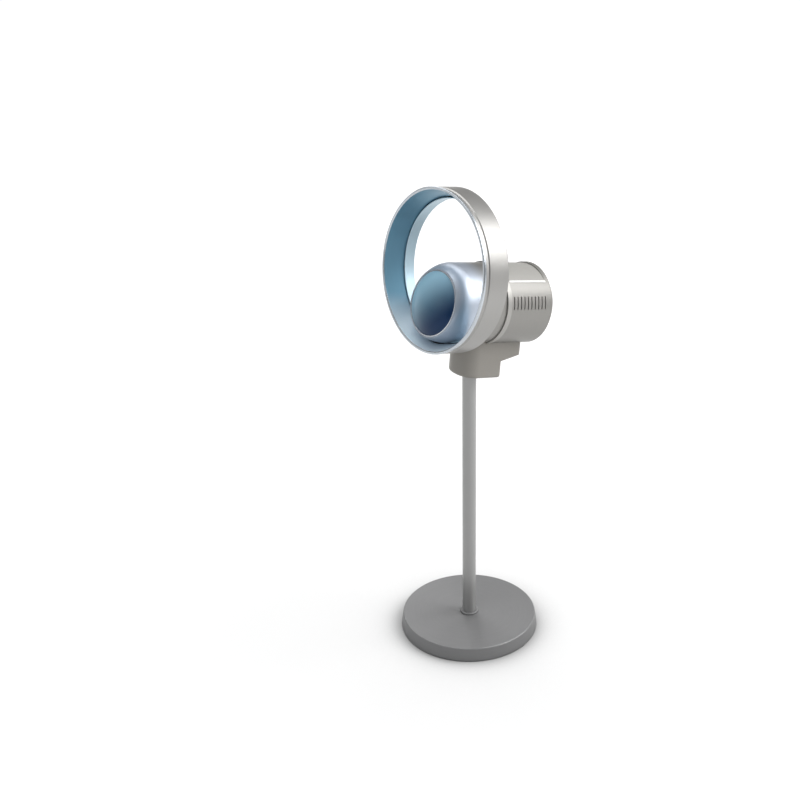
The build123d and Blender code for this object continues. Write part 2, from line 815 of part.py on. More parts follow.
rear_spigot_radius = pod_front_radius - nose_wall - fit_gap
with BuildPart() as trim_band:
    with BuildSketch(pod_side):
        with BuildLine():
            Polyline(
                (trim_start + fit_gap, rear_spigot_radius + fit_gap),
                (trim_end - fit_gap, rear_spigot_radius + fit_gap),
                (trim_end - fit_gap, trim_radius - fit_gap),
                (trim_end - 4 * fit_gap, trim_radius),
                (trim_start + 4 * fit_gap, trim_radius),
                (trim_start + fit_gap, trim_radius - 3 * fit_gap),
                close=True,
            )
        make_face()
    revolve(axis=pod_axis)
save(trim_band, "trim_band")

# The top panel's crown is an arc flatter than the pod, meeting it at both long edges.
panel_half_width = pod_rear_radius * sin(radians(panel_angle))
panel_edge_height = pod_rear_radius * cos(radians(panel_angle))
panel_crown = pod_rear_radius - panel_flat
panel_bow = panel_crown - panel_edge_height
panel_arc_radius = (panel_half_width**2 + panel_bow**2) / (2 * panel_bow)
panel_inner = pod_rear_radius - pod_wall - panel_flat
clear_radius = 2 * pod_rear_radius     # outside everything on the pod


def wedge(angle_from, angle_to):
    """Sector about the pod's axis, for a plane across it, angles clockwise from the top."""
    corners = [(0, 0)]
    steps = 4
    for step in range(steps + 1):
        angle = radians(angle_from + (angle_to - angle_from) * step / steps)
        corners.append((clear_radius * sin(angle), clear_radius * cos(angle)))
    with BuildSketch() as sector:
        with BuildLine():
            Polyline(*corners, close=True)
        make_face()
    return sector.sketch


with BuildPart() as pod_rear_shell:
    with BuildSketch(across(shell_end)):
        Circle(pod_rear_radius)
        Circle(pod_rear_radius - pod_wall, mode=Mode.SUBTRACT)
    extrude(amount=shell_end - trim_end)
    with BuildSketch(across(trim_end)):
        Circle(pod_rear_radius - pod_wall + fit_gap)
        Circle(rear_spigot_radius - spigot_wall, mode=Mode.SUBTRACT)
    extrude(amount=-spigot_wall)
    with BuildSketch(across(trim_end)):
        Circle(rear_spigot_radius)
        Circle(rear_spigot_radius - spigot_wall, mode=Mode.SUBTRACT)
    extrude(amount=trim_end - trim_start + spigot_overlap)
    for row in range(slot_rows):
        station = first_slot + row * slot_pitch
        with BuildSketch(across(station + slot_width / 2)):
            add(wedge(slot_start_angle, slot_end_angle))
            add(wedge(-slot_end_angle, -slot_start_angle))
            Circle(pod_rear_radius - 2 * pod_wall, mode=Mode.SUBTRACT)
        extrude(amount=slot_width, mode=Mode.SUBTRACT)
    with BuildSketch(across(panel_end)):
        add(wedge(-panel_angle, panel_angle))
        Circle(panel_inner - pod_wall, mode=Mode.SUBTRACT)
    extrude(amount=panel_end - panel_start, mode=Mode.SUBTRACT)
    with BuildSketch(deck(pod_screw_seat)):
        with Locations(*back_columns):
            Circle(column_radius)
    extrude(amount=-column_length)
    with BuildSketch(deck(pod_screw_seat)):
        with Locations(*back_columns):
            Circle(pod_screw_radius + fit_gap)
    extrude(amount=-column_length, mode=Mode.SUBTRACT)
    with BuildSketch(across(shell_end)):
        Circle(clear_radius)
        Circle(pod_rear_radius, mode=Mode.SUBTRACT)
    extrude(amount=shell_end - trim_end, mode=Mode.SUBTRACT)
save(pod_rear_shell, "pod_rear_shell")

bar_angle = degrees(asin(trim_bar_width / pod_rear_radius))
bar_gap = degrees(asin(fit_gap / pod_rear_radius))
bar_inner_angle = panel_angle - bar_angle + bar_gap
bar_outer_angle = panel_angle - bar_gap
with BuildPart() as top_panel:
    with BuildSketch(across(panel_end - fit_gap)):
        add(wedge(-panel_angle + bar_angle, panel_angle - bar_angle))
        with Locations((0, panel_crown - panel_arc_radius)):
            Circle(panel_arc_radius, mode=Mode.INTERSECT)
        Circle(panel_inner, mode=Mode.SUBTRACT)
    extrude(amount=panel_end - panel_start - 2 * fit_gap)
save(top_panel, "top_panel")

with BuildPart() as panel_trims:
    with BuildSketch(across(panel_end - fit_gap)):
        add(wedge(bar_inner_angle, bar_outer_angle))
        add(wedge(-bar_outer_angle, -bar_inner_angle))
        Circle(pod_rear_radius + trim_bar_proud, mode=Mode.INTERSECT)
        Circle(panel_inner, mode=Mode.SUBTRACT)
    extrude(amount=panel_end - panel_start - 2 * fit_gap)
save(panel_trims, "panel_trims")

with BuildPart() as rear_cap:
    with BuildSketch(pod_side):
        with BuildLine():
            Polyline(
                (shell_end - cap_spigot, pod_rear_radius - pod_wall - fit_gap),
                (shell_end + fit_gap, pod_rear_radius - pod_wall - fit_gap),
                (shell_end + fit_gap, pod_rear_radius),
                (pod_end - cap_round, pod_rear_radius),
            )
            RadiusArc(
                (pod_end - cap_round, pod_rear_radius),
                (pod_end, pod_rear_radius - cap_round),
                -cap_round,
            )
            Polyline(
                (pod_end, pod_rear_radius - cap_round),
                (pod_end, 0),
                (pod_end - pod_wall, 0),
                (pod_end - pod_wall, pod_rear_radius - 2 * cap_round),
                (shell_end, pod_rear_radius - 2 * pod_wall),
                (shell_end - cap_spigot, pod_rear_radius - 2 * pod_wall),
                (shell_end - cap_spigot, pod_rear_radius - pod_wall - fit_gap),
            )
        make_face()
    revolve(axis=pod_axis)
save(rear_cap, "rear_cap")

screen_outer = pod_rear_radius - pod_wall - screen_gap
with BuildPart() as intake_screens:
    with BuildSketch(across(shell_end - cap_spigot - face_gap)):
        add(wedge(slot_start_angle - screen_margin, slot_end_angle + screen_margin))
        add(wedge(-slot_end_angle - screen_margin, -slot_start_angle + screen_margin))
        Circle(screen_outer, mode=Mode.INTERSECT)
        Circle(screen_outer - screen_thickness, mode=Mode.SUBTRACT)
    extrude(amount=shell_end - cap_spigot - trim_end - spigot_wall - 2 * face_gap)
save(intake_screens, "intake_screens")

# =====================================================================  lens and display
lens_plane = slanted(lens_station, lens_slant)
lens_up = lens_plane.y_dir
lens_axis = Axis(lens_plane.origin, lens_plane.z_dir)
lens_side = Plane(lens_plane.origin, x_dir=lens_up, z_dir=(1, 0, 0))   # (radius, forward)

with BuildPart() as display_lens:
    with BuildSketch(lens_side):
        with BuildLine():
            crown = (lens_radius**2 + lens_crown**2) / (2 * lens_crown)
            RadiusArc((0, lens_crown), (lens_radius, 0), crown)
            Line((lens_radius, 0), (lens_radius, -lens_thickness))
            RadiusArc((0, lens_crown - lens_thickness), (lens_radius, -lens_thickness), crown)
            Line((0, lens_crown - lens_thickness), (0, lens_crown))
        make_face()
    revolve(axis=lens_axis)
save(display_lens, "display_lens")

with BuildPart() as lens_bezel:
    with BuildSketch(lens_side):
        with BuildLine():
            Polyline(
                (lens_radius + fit_gap, bezel_proud),
                (lens_radius + bezel_width / 2, bezel_proud),
                (lens_radius + bezel_width, 0),
                (lens_radius + bezel_width, -bezel_depth),
                (lens_radius - bezel_ledge, -bezel_depth),
                (lens_radius - bezel_ledge, -lens_thickness - fit_gap),
                (lens_radius + fit_gap, -lens_thickness - fit_gap),
                close=True,
            )
        make_face()
    revolve(axis=lens_axis)
save(lens_bezel, "lens_bezel")

carrier_front = -bezel_depth
with BuildPart() as display_carrier:
    with BuildSketch(lens_plane.offset(carrier_front - carrier_thickness)):
        Circle(lens_radius + bezel_width)
    extrude(amount=carrier_thickness)
save(display_carrier, "display_carrier")

with BuildPart() as display_board:
    with BuildSketch(lens_plane.offset(carrier_front)):
        Circle(display_board_radius)
    extrude(amount=board_thickness)
    with BuildSketch(lens_plane.offset(carrier_front + board_thickness)):
        with GridLocations(digit_pitch, 1, digit_count, 1):
            Rectangle(digit_width, digit_height)
    extrude(amount=digit_depth)
save(display_board, "display_board")

# =====================================================================  ring nozzle
taper = (rim_inner_radius - throat_radius - throat_wall - slot_gap) / lip_station


def nozzle_radius(station):
    """Inner radius of the flaring front band at a station."""
    return rim_inner_radius - taper * station


shell_inner = ring_radius - cove_depth - ring_wall
rim_tongue_end = rim_depth + rim_tongue
rim_room = diffuser_wall + fit_gap
ring_front_trim = turned(ring_side, ring_axis, [
    (rim_edge, nozzle_radius(rim_edge)),
    (0, rim_inner_radius + rim_edge),
    (0, rim_radius - rim_edge),
    (rim_edge, rim_radius),
    (rim_depth - rim_edge, rim_radius),
    (rim_depth, rim_radius - rim_edge),
    (rim_depth, shell_inner - fit_gap),
    (rim_tongue_end, shell_inner - fit_gap),
    (rim_tongue_end, nozzle_radius(rim_tongue_end) + rim_room),
    (rim_face, nozzle_radius(rim_face) + rim_room),
    (rim_face, nozzle_radius(rim_face)),
])
save(ring_front_trim, "ring_front_trim")

rear_inner_round = ring_rear_round - ring_wall
with BuildPart() as ring_port_cut:
    with BuildSketch(ring_across(ring_depth + ring_wall)):
        Circle(ring_port_outer)
        Circle(ring_port_inner, mode=Mode.SUBTRACT)
        with Locations((0, -ring_radius)):
            Rectangle(saddle_width - 4 * saddle_wall, ring_radius, mode=Mode.INTERSECT)
    extrude(amount=4 * ring_wall + ring_rear_round)

with BuildPart() as ring_outer_shell:
    with BuildSketch(ring_side):
        with BuildLine():
            Polyline(
                (rim_depth + fit_gap, shell_inner),
                (rim_depth + fit_gap, ring_radius - cove_depth),
                (cove_end, ring_radius - cove_depth),
                (cove_end + cove_ramp, ring_radius),
                (ring_depth - ring_rear_round, ring_radius),
            )
            RadiusArc(
                (ring_depth - ring_rear_round, ring_radius),
                (ring_depth, ring_radius - ring_rear_round),
                -ring_rear_round,
            )
            Polyline(
                (ring_depth, ring_radius - ring_rear_round),
                (ring_depth, throat_radius + throat_wall + 2 * fit_gap),
                (ring_depth - ring_wall, throat_radius + throat_wall + 2 * fit_gap),
                (ring_depth - ring_wall, ring_radius - ring_rear_round),
            )
            RadiusArc(
                (ring_depth - ring_wall, ring_radius - ring_rear_round),
                (ring_depth - ring_rear_round, ring_radius - ring_wall),
                rear_inner_round,
            )
            Polyline(
                (ring_depth - ring_rear_round, ring_radius - ring_wall),
                (cove_end + cove_ramp, ring_radius - ring_wall),
                (cove_end, shell_inner),
                (rim_depth + fit_gap, shell_inner),
            )
        make_face()
    revolve(axis=ring_axis)
    add(pod_envelope.part, mode=Mode.SUBTRACT)
    add(ring_port_cut.part, mode=Mode.SUBTRACT)
save(ring_outer_shell, "ring_outer_shell")

throat_outer = throat_radius + throat_wall
throat_flange_back = ring_depth - ring_wall - fit_gap
throat_body = turned(ring_side, ring_axis, [
    (lip_station, throat_radius + throat_wall / 2),
    (lip_station + throat_wall / 2, throat_radius),
    (ring_depth, throat_radius),
    (ring_depth, throat_outer + fit_gap),
    (throat_flange_back, throat_outer + fit_gap),
    (throat_flange_back, throat_outer + throat_flange),
    (throat_flange_back - throat_wall, throat_outer + throat_flange),
    (throat_flange_back - throat_wall, throat_outer),
    (lip_station + throat_wall / 2, throat_outer),
])
with BuildPart() as ring_throat:
    add(throat_body.part)
    add(pod_envelope.part, mode=Mode.SUBTRACT)
    add(ring_port_cut.part, mode=Mode.SUBTRACT)
save(ring_throat, "ring_throat")

diffuser_lip = nozzle_radius(lip_station)
diffuser_body = turned(ring_side, ring_axis, [
    (rim_face + fit_gap, nozzle_radius(rim_face)),
    (lip_station, diffuser_lip),
    (lip_station + diffuser_curl_length / 2, diffuser_lip),
    (lip_station + diffuser_curl_length, diffuser_lip + diffuser_curl_rise),
    (lip_station + diffuser_curl_length, diffuser_lip + diffuser_curl_rise + diffuser_wall),
    (lip_station + diffuser_curl_length / 2, diffuser_lip + diffuser_wall),
    (lip_station, diffuser_lip + diffuser_wall),
    (rim_face + fit_gap, nozzle_radius(rim_face) + diffuser_wall),
])
with BuildPart() as ring_diffuser:
    add(diffuser_body.part)
    add(pod_envelope.part, mode=Mode.SUBTRACT)
save(ring_diffuser, "ring_diffuser")

spacer_inner = throat_outer + fit_gap
with BuildPart() as slot_spacers:
    with BuildSketch(ring_across(spacer_station)):
        with PolarLocations(spacer_inner + slot_gap, spacer_count, start_angle=90 + 180 / spacer_count):
            Rectangle(2 * slot_gap, spacer_width)
        Circle(diffuser_lip - fit_gap, mode=Mode.INTERSECT)
        Circle(spacer_inner, mode=Mode.SUBTRACT)
    extrude(amount=spacer_length)
    add(pod_envelope.part, mode=Mode.SUBTRACT)
save(slot_spacers, "slot_spacers")

# =====================================================================  saddle duct
saddle_start = ring_depth + fit_gap


def saddle_block(inset, front, end):
    """Wedge under the pod that follows the ring's outside, tapering backwards."""
    with BuildPart() as block:
        with BuildSketch(ring_side):
            with BuildLine():
                Polyline(
                    (front, pod_drop),
                    (front, ring_radius - ring_wall - inset),
                    (end, saddle_end_radius - inset),
                    (end, pod_drop),
                    close=True,
                )
            make_face()
        revolve(axis=ring_axis)
        with BuildSketch(deck(0)):
            with Locations((0, (front + end) / 2)):
                Rectangle(saddle_width - 2 * inset, end - front)
        extrude(amount=-2 * pod_front_radius, mode=Mode.INTERSECT)
    return block


with BuildPart() as ring_saddle:
    add(saddle_block(0, saddle_start, saddle_end).part)
    add(saddle_block(saddle_wall, saddle_start - saddle_wall, saddle_duct_end).part, mode=Mode.SUBTRACT)
    add(pod_envelope.part, mode=Mode.SUBTRACT)
save(ring_saddle, "ring_saddle")

# =====================================================================  blower
housing_back = housing_flange_station + housing_flange
housing_rim_radius = rear_spigot_radius - spigot_wall - fit_gap
with BuildPart() as fan_housing:
    with BuildSketch(across(housing_back)):
        Circle(housing_radius)
        Circle(housing_radius - housing_wall, mode=Mode.SUBTRACT)
    extrude(amount=housing_back - housing_front)
    with BuildSketch(across(housing_back)):
        Circle(housing_rim_radius)
        Circle(inlet_radius, mode=Mode.SUBTRACT)
    extrude(amount=housing_flange)
    fillet(
        fan_housing.edges().filter_by(GeomType.CIRCLE).filter_by(lambda edge: edge.radius == inlet_radius),
        radius=housing_flange / 2 - fit_gap,
    )
save(fan_housing, "fan_housing")

with BuildPart() as vibration_mounts:
    with BuildSketch(across(mount_station)):
        with PolarLocations(housing_radius + mount_size, 4, start_angle=45):
            Rectangle(2 * mount_size, mount_size)
        Circle(pod_front_radius - nose_wall - fit_gap, mode=Mode.INTERSECT)
        Circle(housing_radius + fit_gap, mode=Mode.SUBTRACT)
    extrude(amount=-mount_size)
save(vibration_mounts, "vibration_mounts")

# A vane stands on the hub's top, drawn from above and turned about the pod's axis.
vane_reach = housing_radius - housing_wall - fit_gap
vane_middle = (vane_front + vane_back) / 2
vane_run = (vane_back - vane_front) / cos(radians(vane_lean))


with BuildPart() as guide_vanes:
    with BuildSketch(deck(hub_radius - hub_wall)):
        with Locations(Location((0, vane_middle), vane_lean)):
            Rectangle(vane_thickness, vane_run)
    extrude(amount=vane_reach)
    one_vane = guide_vanes.part
    for turn in range(1, vane_count):
        add(one_vane.rotate(pod_axis, 360 * turn / vane_count))
    with BuildSketch(across(vane_back)):
        Circle(hub_radius)
    extrude(amount=vane_back - vane_front)
    with BuildSketch(across(vane_back + vane_thickness)):
        Circle(2 * housing_radius)
        Circle(vane_reach, mode=Mode.SUBTRACT)
    extrude(amount=vane_back - vane_front + 2 * vane_thickness, mode=Mode.SUBTRACT)
    with BuildSketch(across(vane_back + vane_thickness)):
        Circle(hub_radius - hub_wall)
    extrude(amount=vane_back - vane_front + 2 * vane_thickness, mode=Mode.SUBTRACT)
save(guide_vanes, "guide_vanes")

can_radius = hub_radius - hub_wall - fit_gap
can_bore = can_radius - can_wall
with BuildPart() as motor_can:
    with BuildSketch(pod_side):
        with BuildLine():
            Polyline(
                (can_front, can_bore),
                (can_back - can_end_wall, can_bore),
                (can_back - can_end_wall, bearing_radius + can_wall),
                (can_back - can_end_wall - bearing_width, bearing_radius + can_wall),
                (can_back - can_end_wall - bearing_width, bearing_radius + run_gap),
                (can_back - can_end_wall, bearing_radius + run_gap),
                (can_back - can_end_wall, 2 * shaft_radius),
                (can_back, 2 * shaft_radius),
                (can_back, can_radius),
                (can_front, can_radius),
                close=True,
            )
        make_face()
    revolve(axis=pod_axis)
save(motor_can, "motor_can")

with BuildPart() as motor_endcap:
    with BuildSketch(pod_side):
        with BuildLine():
            Polyline(
                (can_front - endcap_thickness / 2, 2 * shaft_radius),
                (can_front - endcap_thickness / 2, can_radius),
                (can_front - fit_gap, can_radius),
                (can_front - fit_gap, can_bore - fit_gap),
                (can_front + endcap_thickness / 2, can_bore - fit_gap),
                (can_front + endcap_thickness / 2, bearing_radius + can_wall),
                (can_front + bearing_width, bearing_radius + can_wall),
                (can_front + bearing_width, bearing_radius + run_gap),
                (can_front, bearing_radius + run_gap),
                (can_front, 2 * shaft_radius),
                close=True,
            )
        make_face()
    revolve(axis=pod_axis)
save(motor_endcap, "motor_endcap")

with BuildPart() as motor_bearings:
    for start in (can_front, can_back - can_end_wall - bearing_width):
        with BuildSketch(across(start + bearing_width)):
            Circle(bearing_radius)
            Circle(shaft_radius + run_gap, mode=Mode.SUBTRACT)
        extrude(amount=bearing_width)
save(motor_bearings, "motor_bearings")

motor_stator = tube(pod_side, pod_axis, stator_front, stator_back, stator_bore, can_bore - fit_gap)
save(motor_stator, "motor_stator")

motor_rotor = tube(pod_side, pod_axis, stator_front, stator_back, shaft_radius + run_gap, rotor_radius)
save(motor_rotor, "motor_rotor")

with BuildPart() as motor_shaft:
    with BuildSketch(across(shaft_back)):
        Circle(shaft_radius)
    extrude(amount=shaft_back - shaft_front)
save(motor_shaft, "motor_shaft")

# Each blade is lofted from a steep root to a flatter tip, above the pod's axis, then turned.
impeller_middle = (impeller_front + impeller_back) / 2
with BuildPart() as impeller:
    with BuildSketch(deck(impeller_hub_radius - blade_thickness)):
        with Locations(Location((0, impeller_middle), blade_pitch - blade_twist)):
            RectangleRounded(blade_thickness, blade_chord * cos(radians(blade_pitch)), blade_edge)
    with BuildSketch(deck(blade_tip_radius - blade_thickness)):
        with Locations(Location((0, impeller_middle), blade_pitch + blade_twist)):
            RectangleRounded(blade_thickness, blade_chord, blade_edge)
    loft()
    one_blade = impeller.part
    for turn in range(1, blade_count):
        add(one_blade.rotate(pod_axis, 360 * turn / blade_count))
    with BuildSketch(pod_side):
        with BuildLine():
            Polyline(
                (impeller_front, 0),
                (impeller_front, impeller_hub_radius),
                (impeller_middle, impeller_hub_radius),
                (impeller_back, impeller_hub_radius / 2),
                (impeller_back, 0),
                close=True,
            )
        make_face()
    revolve(axis=pod_axis)
    with BuildSketch(across(impeller_back + fit_gap)):
        Circle(shaft_radius + run_gap)
    extrude(amount=2 * (impeller_back - impeller_front), mode=Mode.SUBTRACT)
save(impeller, "impeller")

with BuildPart() as impeller_nut:
    with BuildSketch(across(impeller_back + nut_length)):
        RegularPolygon(nut_radius, 6)
        Circle(shaft_radius + run_gap, mode=Mode.SUBTRACT)
    extrude(amount=nut_length)
save(impeller_nut, "impeller_nut")

# Wall in front of the blower: it shuts off the display and turns the air down into the saddle.
front_bulkhead = tube(
    pod_side, pod_axis, bulkhead_station, bulkhead_station + bulkhead_thickness,
    0, pod_front_radius - nose_wall - fit_gap,
)
save(front_bulkhead, "front_bulkhead")

# =====================================================================  control board
board_middle = control_board_start + control_board_length / 2
chip_spacing = control_board_length / 3
board_top = control_board_rise + board_thickness
post_x = control_board_width / 2 - post_inset
post_top = sqrt(panel_inner**2 - (post_x + post_radius)**2) - fit_gap
with BuildPart() as control_board:
    with BuildSketch(deck(control_board_rise)):
        with Locations((0, board_middle)):
            Rectangle(control_board_width, control_board_length)
    extrude(amount=board_thickness)
    with BuildSketch(deck(board_top)):
        with Locations((0, board_middle)):
            Rectangle(control_board_width / 3, control_board_length / 3)
        with Locations((0, board_middle - chip_spacing), (0, board_middle + chip_spacing)):
            Rectangle(control_board_width / 5, control_board_length / 8)
    extrude(amount=chip_rise)
save(control_board, "control_board")

with BuildPart() as board_posts:
    with BuildSketch(deck(board_top)):
        with Locations((0, board_middle)):
            with GridLocations(2 * post_x, control_board_length - 2 * post_inset, 2, 2):
                Circle(post_radius)
    extrude(amount=post_top - board_top)
save(board_posts, "board_posts")
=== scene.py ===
import json
import math
import bpy
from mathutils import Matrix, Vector

# Bladeless pedestal fan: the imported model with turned, drawn and cast metal finishes, a smoked
# display lens, and moulded and rubber pieces, on a pale floor in soft studio light.
# Metres, +Z up, the head blows towards -Y. Colours are linear, and the scale of a pattern is
# per metre.

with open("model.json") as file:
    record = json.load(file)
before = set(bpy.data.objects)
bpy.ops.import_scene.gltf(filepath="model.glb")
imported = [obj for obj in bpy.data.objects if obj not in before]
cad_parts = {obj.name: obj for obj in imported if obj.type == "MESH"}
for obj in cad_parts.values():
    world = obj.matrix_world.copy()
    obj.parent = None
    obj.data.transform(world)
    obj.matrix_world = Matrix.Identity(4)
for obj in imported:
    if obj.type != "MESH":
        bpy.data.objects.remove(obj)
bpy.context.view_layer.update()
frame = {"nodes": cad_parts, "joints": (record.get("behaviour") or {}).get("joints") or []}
cad = frame["nodes"]

MM = 0.001
WHITE = (1.0, 1.0, 1.0)

# ---- places on the object ----
POD_TILT = 13.95             # degrees by which the pod's nose points up
RING_TILT = 12.4             # and the ring's front


def tilted_axes(degrees):
    """Backward and upward directions of a form whose front points up by an angle."""
    angle = math.radians(degrees)
    return (Vector((0, math.cos(angle), -math.sin(angle))),
            Vector((0, math.sin(angle), math.cos(angle))))


JOINT = {joint["name"]: joint for joint in frame["joints"]}
POD_CENTRE = Vector(JOINT["fan_spin"]["pos_m"])
POD_BACK, POD_RISE = tilted_axes(POD_TILT)
RING_CENTRE = Vector((0, -0.08647, 0.80311))
RING_BACK, RING_RISE = tilted_axes(RING_TILT)
FLOOR_POINT = Vector((0, 0, 0))
UP = Vector((0, 0, 1))
TOWARDS_SIDE = Vector((1.2, 0, 0))
LENS_PAINTED_SHADE_WAY = (TOWARDS_SIDE - POD_RISE).normalized()      # the lens's painted shade deepens this way, towards its side and foot


# ---- shader building ----
def fill(tree, node, inputs):
    """Link a node's inputs, or set those that are given as plain values."""
    for key, value in inputs.items():
        if isinstance(value, bpy.types.NodeSocket):
            tree.links.new(value, node.inputs[key])
        else:
            node.inputs[key].default_value = value


def shade(tree, kind, inputs=None, **settings):
    """Add a shader node, set it up and fill its inputs."""
    made = tree.nodes.new(kind)
    for key, value in settings.items():
        setattr(made, key, value)
    fill(tree, made, inputs or {})
    return made


def calc(tree, operation, *values):
    """One number worked out from others."""
    return shade(tree, "ShaderNodeMath", dict(enumerate(values)), operation=operation).outputs[0]


def total(tree, first, *others):
    """Several numbers added up."""
    for value in others:
        first = calc(tree, "ADD", first, value)
    return first


def vcalc(tree, operation, *values):
    """One vector, or its length or dot product, worked out from others."""
    made = shade(tree, "ShaderNodeVectorMath", dict(enumerate(values)), operation=operation)
    return made.outputs["Value" if operation in ("LENGTH", "DOT_PRODUCT") else "Vector"]


def scaled(tree, vector, factor):
    """A vector times a number."""
    return shade(tree, "ShaderNodeVectorMath", {0: vector, "Scale": factor},
                 operation="SCALE").outputs["Vector"]


def vector_of(tree, x, y, z):
    """Three numbers as a vector."""
    return shade(tree, "ShaderNodeCombineXYZ", {0: x, 1: y, 2: z}).outputs[0]


def to_world(tree, vector, kind):
    """A VECTOR or NORMAL of the object, turned into the world's axes."""
    return shade(tree, "ShaderNodeVectorTransform", {0: vector}, vector_type=kind,
                 convert_from="OBJECT", convert_to="WORLD").outputs[0]


def object_place(tree):
    """Position in the object's own axes."""
    return shade(tree, "ShaderNodeTexCoord").outputs["Object"]


def noise(tree, place, across=None, scale=1.0, detail=2.0, roughness=0.5):
    """Noise from 0 to 1, with an optional fourth coordinate."""
    inputs = {"Vector": place, "Scale": scale, "Detail": detail, "Roughness": roughness}
    if across is not None:
        inputs["W"] = across
    return shade(tree, "ShaderNodeTexNoise", inputs,
                 noise_dimensions="3D" if across is None else "4D").outputs["Fac"]


def spread(tree, value, low, high, start=0.0, end=1.0):
    """A value between start and end, stretched to lie between low and high."""
    return shade(tree, "ShaderNodeMapRange",
                 {"Value": value, "From Min": start, "From Max": end,
                  "To Min": low, "To Max": high}).outputs["Result"]


def swing(tree, value, middle, reach):
    """A 0 to 1 value turned into middle, plus or minus reach."""
    return spread(tree, value, middle - reach, middle + reach)


def smooth_share(tree, value, start, end):
    """How far a value is from start to end, from 0 to 1 and with soft ends."""
    return shade(tree, "ShaderNodeMapRange",
                 {"Value": value, "From Min": start, "From Max": end},
                 interpolation_type="SMOOTHSTEP").outputs["Result"]


def blended(tree, share, first, second):
    """A colour between two others."""
    return shade(tree, "ShaderNodeMix", {0: share, 6: (*first, 1), 7: (*second, 1)},
                 data_type="RGBA").outputs[2]


def tinted(tree, colour, amount):
    """A colour made lighter or darker by a number near 1."""
    return vcalc(tree, "MULTIPLY", colour, vector_of(tree, amount, amount, amount))


def lathe_place(tree, place, centre, axis):
    """Position about an axis: station along it, distance from it, and direction out of it."""
    from_centre = vcalc(tree, "SUBTRACT", place, centre)
    station = vcalc(tree, "DOT_PRODUCT", from_centre, axis)
    outward = vcalc(tree, "SUBTRACT", from_centre, scaled(tree, axis, station))
    return station, vcalc(tree, "LENGTH", outward), vcalc(tree, "NORMALIZE", outward)


def soft_normal(tree, size):
    """The normal, with the edges rounded by a radius."""
    return shade(tree, "ShaderNodeBevel", {"Radius": size}, samples=4).outputs["Normal"]


EDGE_GAIN = 6.0              # a rounded normal that leans by 34 degrees counts as a whole edge


def edge_mask(tree, soft):
    """1 on sharp edges and 0 on flat ground, from how far the rounded normal leans."""
    flat = shade(tree, "ShaderNodeNewGeometry").outputs["Normal"]
    lean = calc(tree, "SUBTRACT", 1.0, vcalc(tree, "DOT_PRODUCT", soft, flat))
    return calc(tree, "MINIMUM", calc(tree, "MULTIPLY", lean, EDGE_GAIN), 1.0)


ROUND_FACE = 0.96            # cosine of the most that a flat face leans from the true cylinder


def turned_normal(tree, direction, mask, soft):
    """Edge mask and normal, with the exact normal on the faces that make up a cylinder."""
    outward = to_world(tree, direction, "NORMAL")
    face = shade(tree, "ShaderNodeNewGeometry").outputs["True Normal"]
    is_round = calc(tree, "GREATER_THAN", vcalc(tree, "DOT_PRODUCT", face, outward), ROUND_FACE)
    normal = shade(tree, "ShaderNodeMix", {0: is_round, 4: soft, 5: outward},
                   data_type="VECTOR").outputs[1]
    return calc(tree, "MULTIPLY", mask, calc(tree, "SUBTRACT", 1.0, is_round)), normal


def blank(name):
    """New material: itself, its node tree and its Principled shader."""
    made = bpy.data.materials.new(name)
    made.use_nodes = True
    return made, made.node_tree, made.node_tree.nodes["Principled BSDF"]


def finish_bump(tree, shader, height, depth, normal):
    """Relief of a given depth on the shader's normal."""
    bump = shade(tree, "ShaderNodeBump", {"Height": height, "Distance": depth,
                                          "Strength": 1.0, "Normal": normal})
    fill(tree, shader, {"Normal": bump.outputs["Normal"]})


# ---- kinds of material ----
HAIRLINES = 2600.0           # scale of a brushed metal's finest lines
STREAKS = 260.0              # and of the streaks between them
RUN = 3.0                    # scale at which either changes along its own run
DRAWN_SHARE = 0.02           # a drawn piece's lines are counted round it, at this share
HAIRLINE_TINT = 0.02
SMUDGE_TINT = 0.015
SHINE_SWING = 0.02           # how far hairlines, and smudges, each change the roughness
HAIRLINE_DEPTH = 0.0015 * MM


def turned_lines(tree, station, radius, direction, scale):
    """Noise in fine lines that run round an axis."""
    along = vector_of(tree, calc(tree, "MULTIPLY", station, scale), 0.0, 0.0)
    return noise(tree, vcalc(tree, "ADD", scaled(tree, direction, RUN), along),
                 calc(tree, "MULTIPLY", radius, scale))


def drawn_lines(tree, station, direction, scale):
    """Noise in fine lines that run along an axis."""
    return noise(tree, scaled(tree, direction, scale * DRAWN_SHARE),
                 calc(tree, "MULTIPLY", station, RUN))


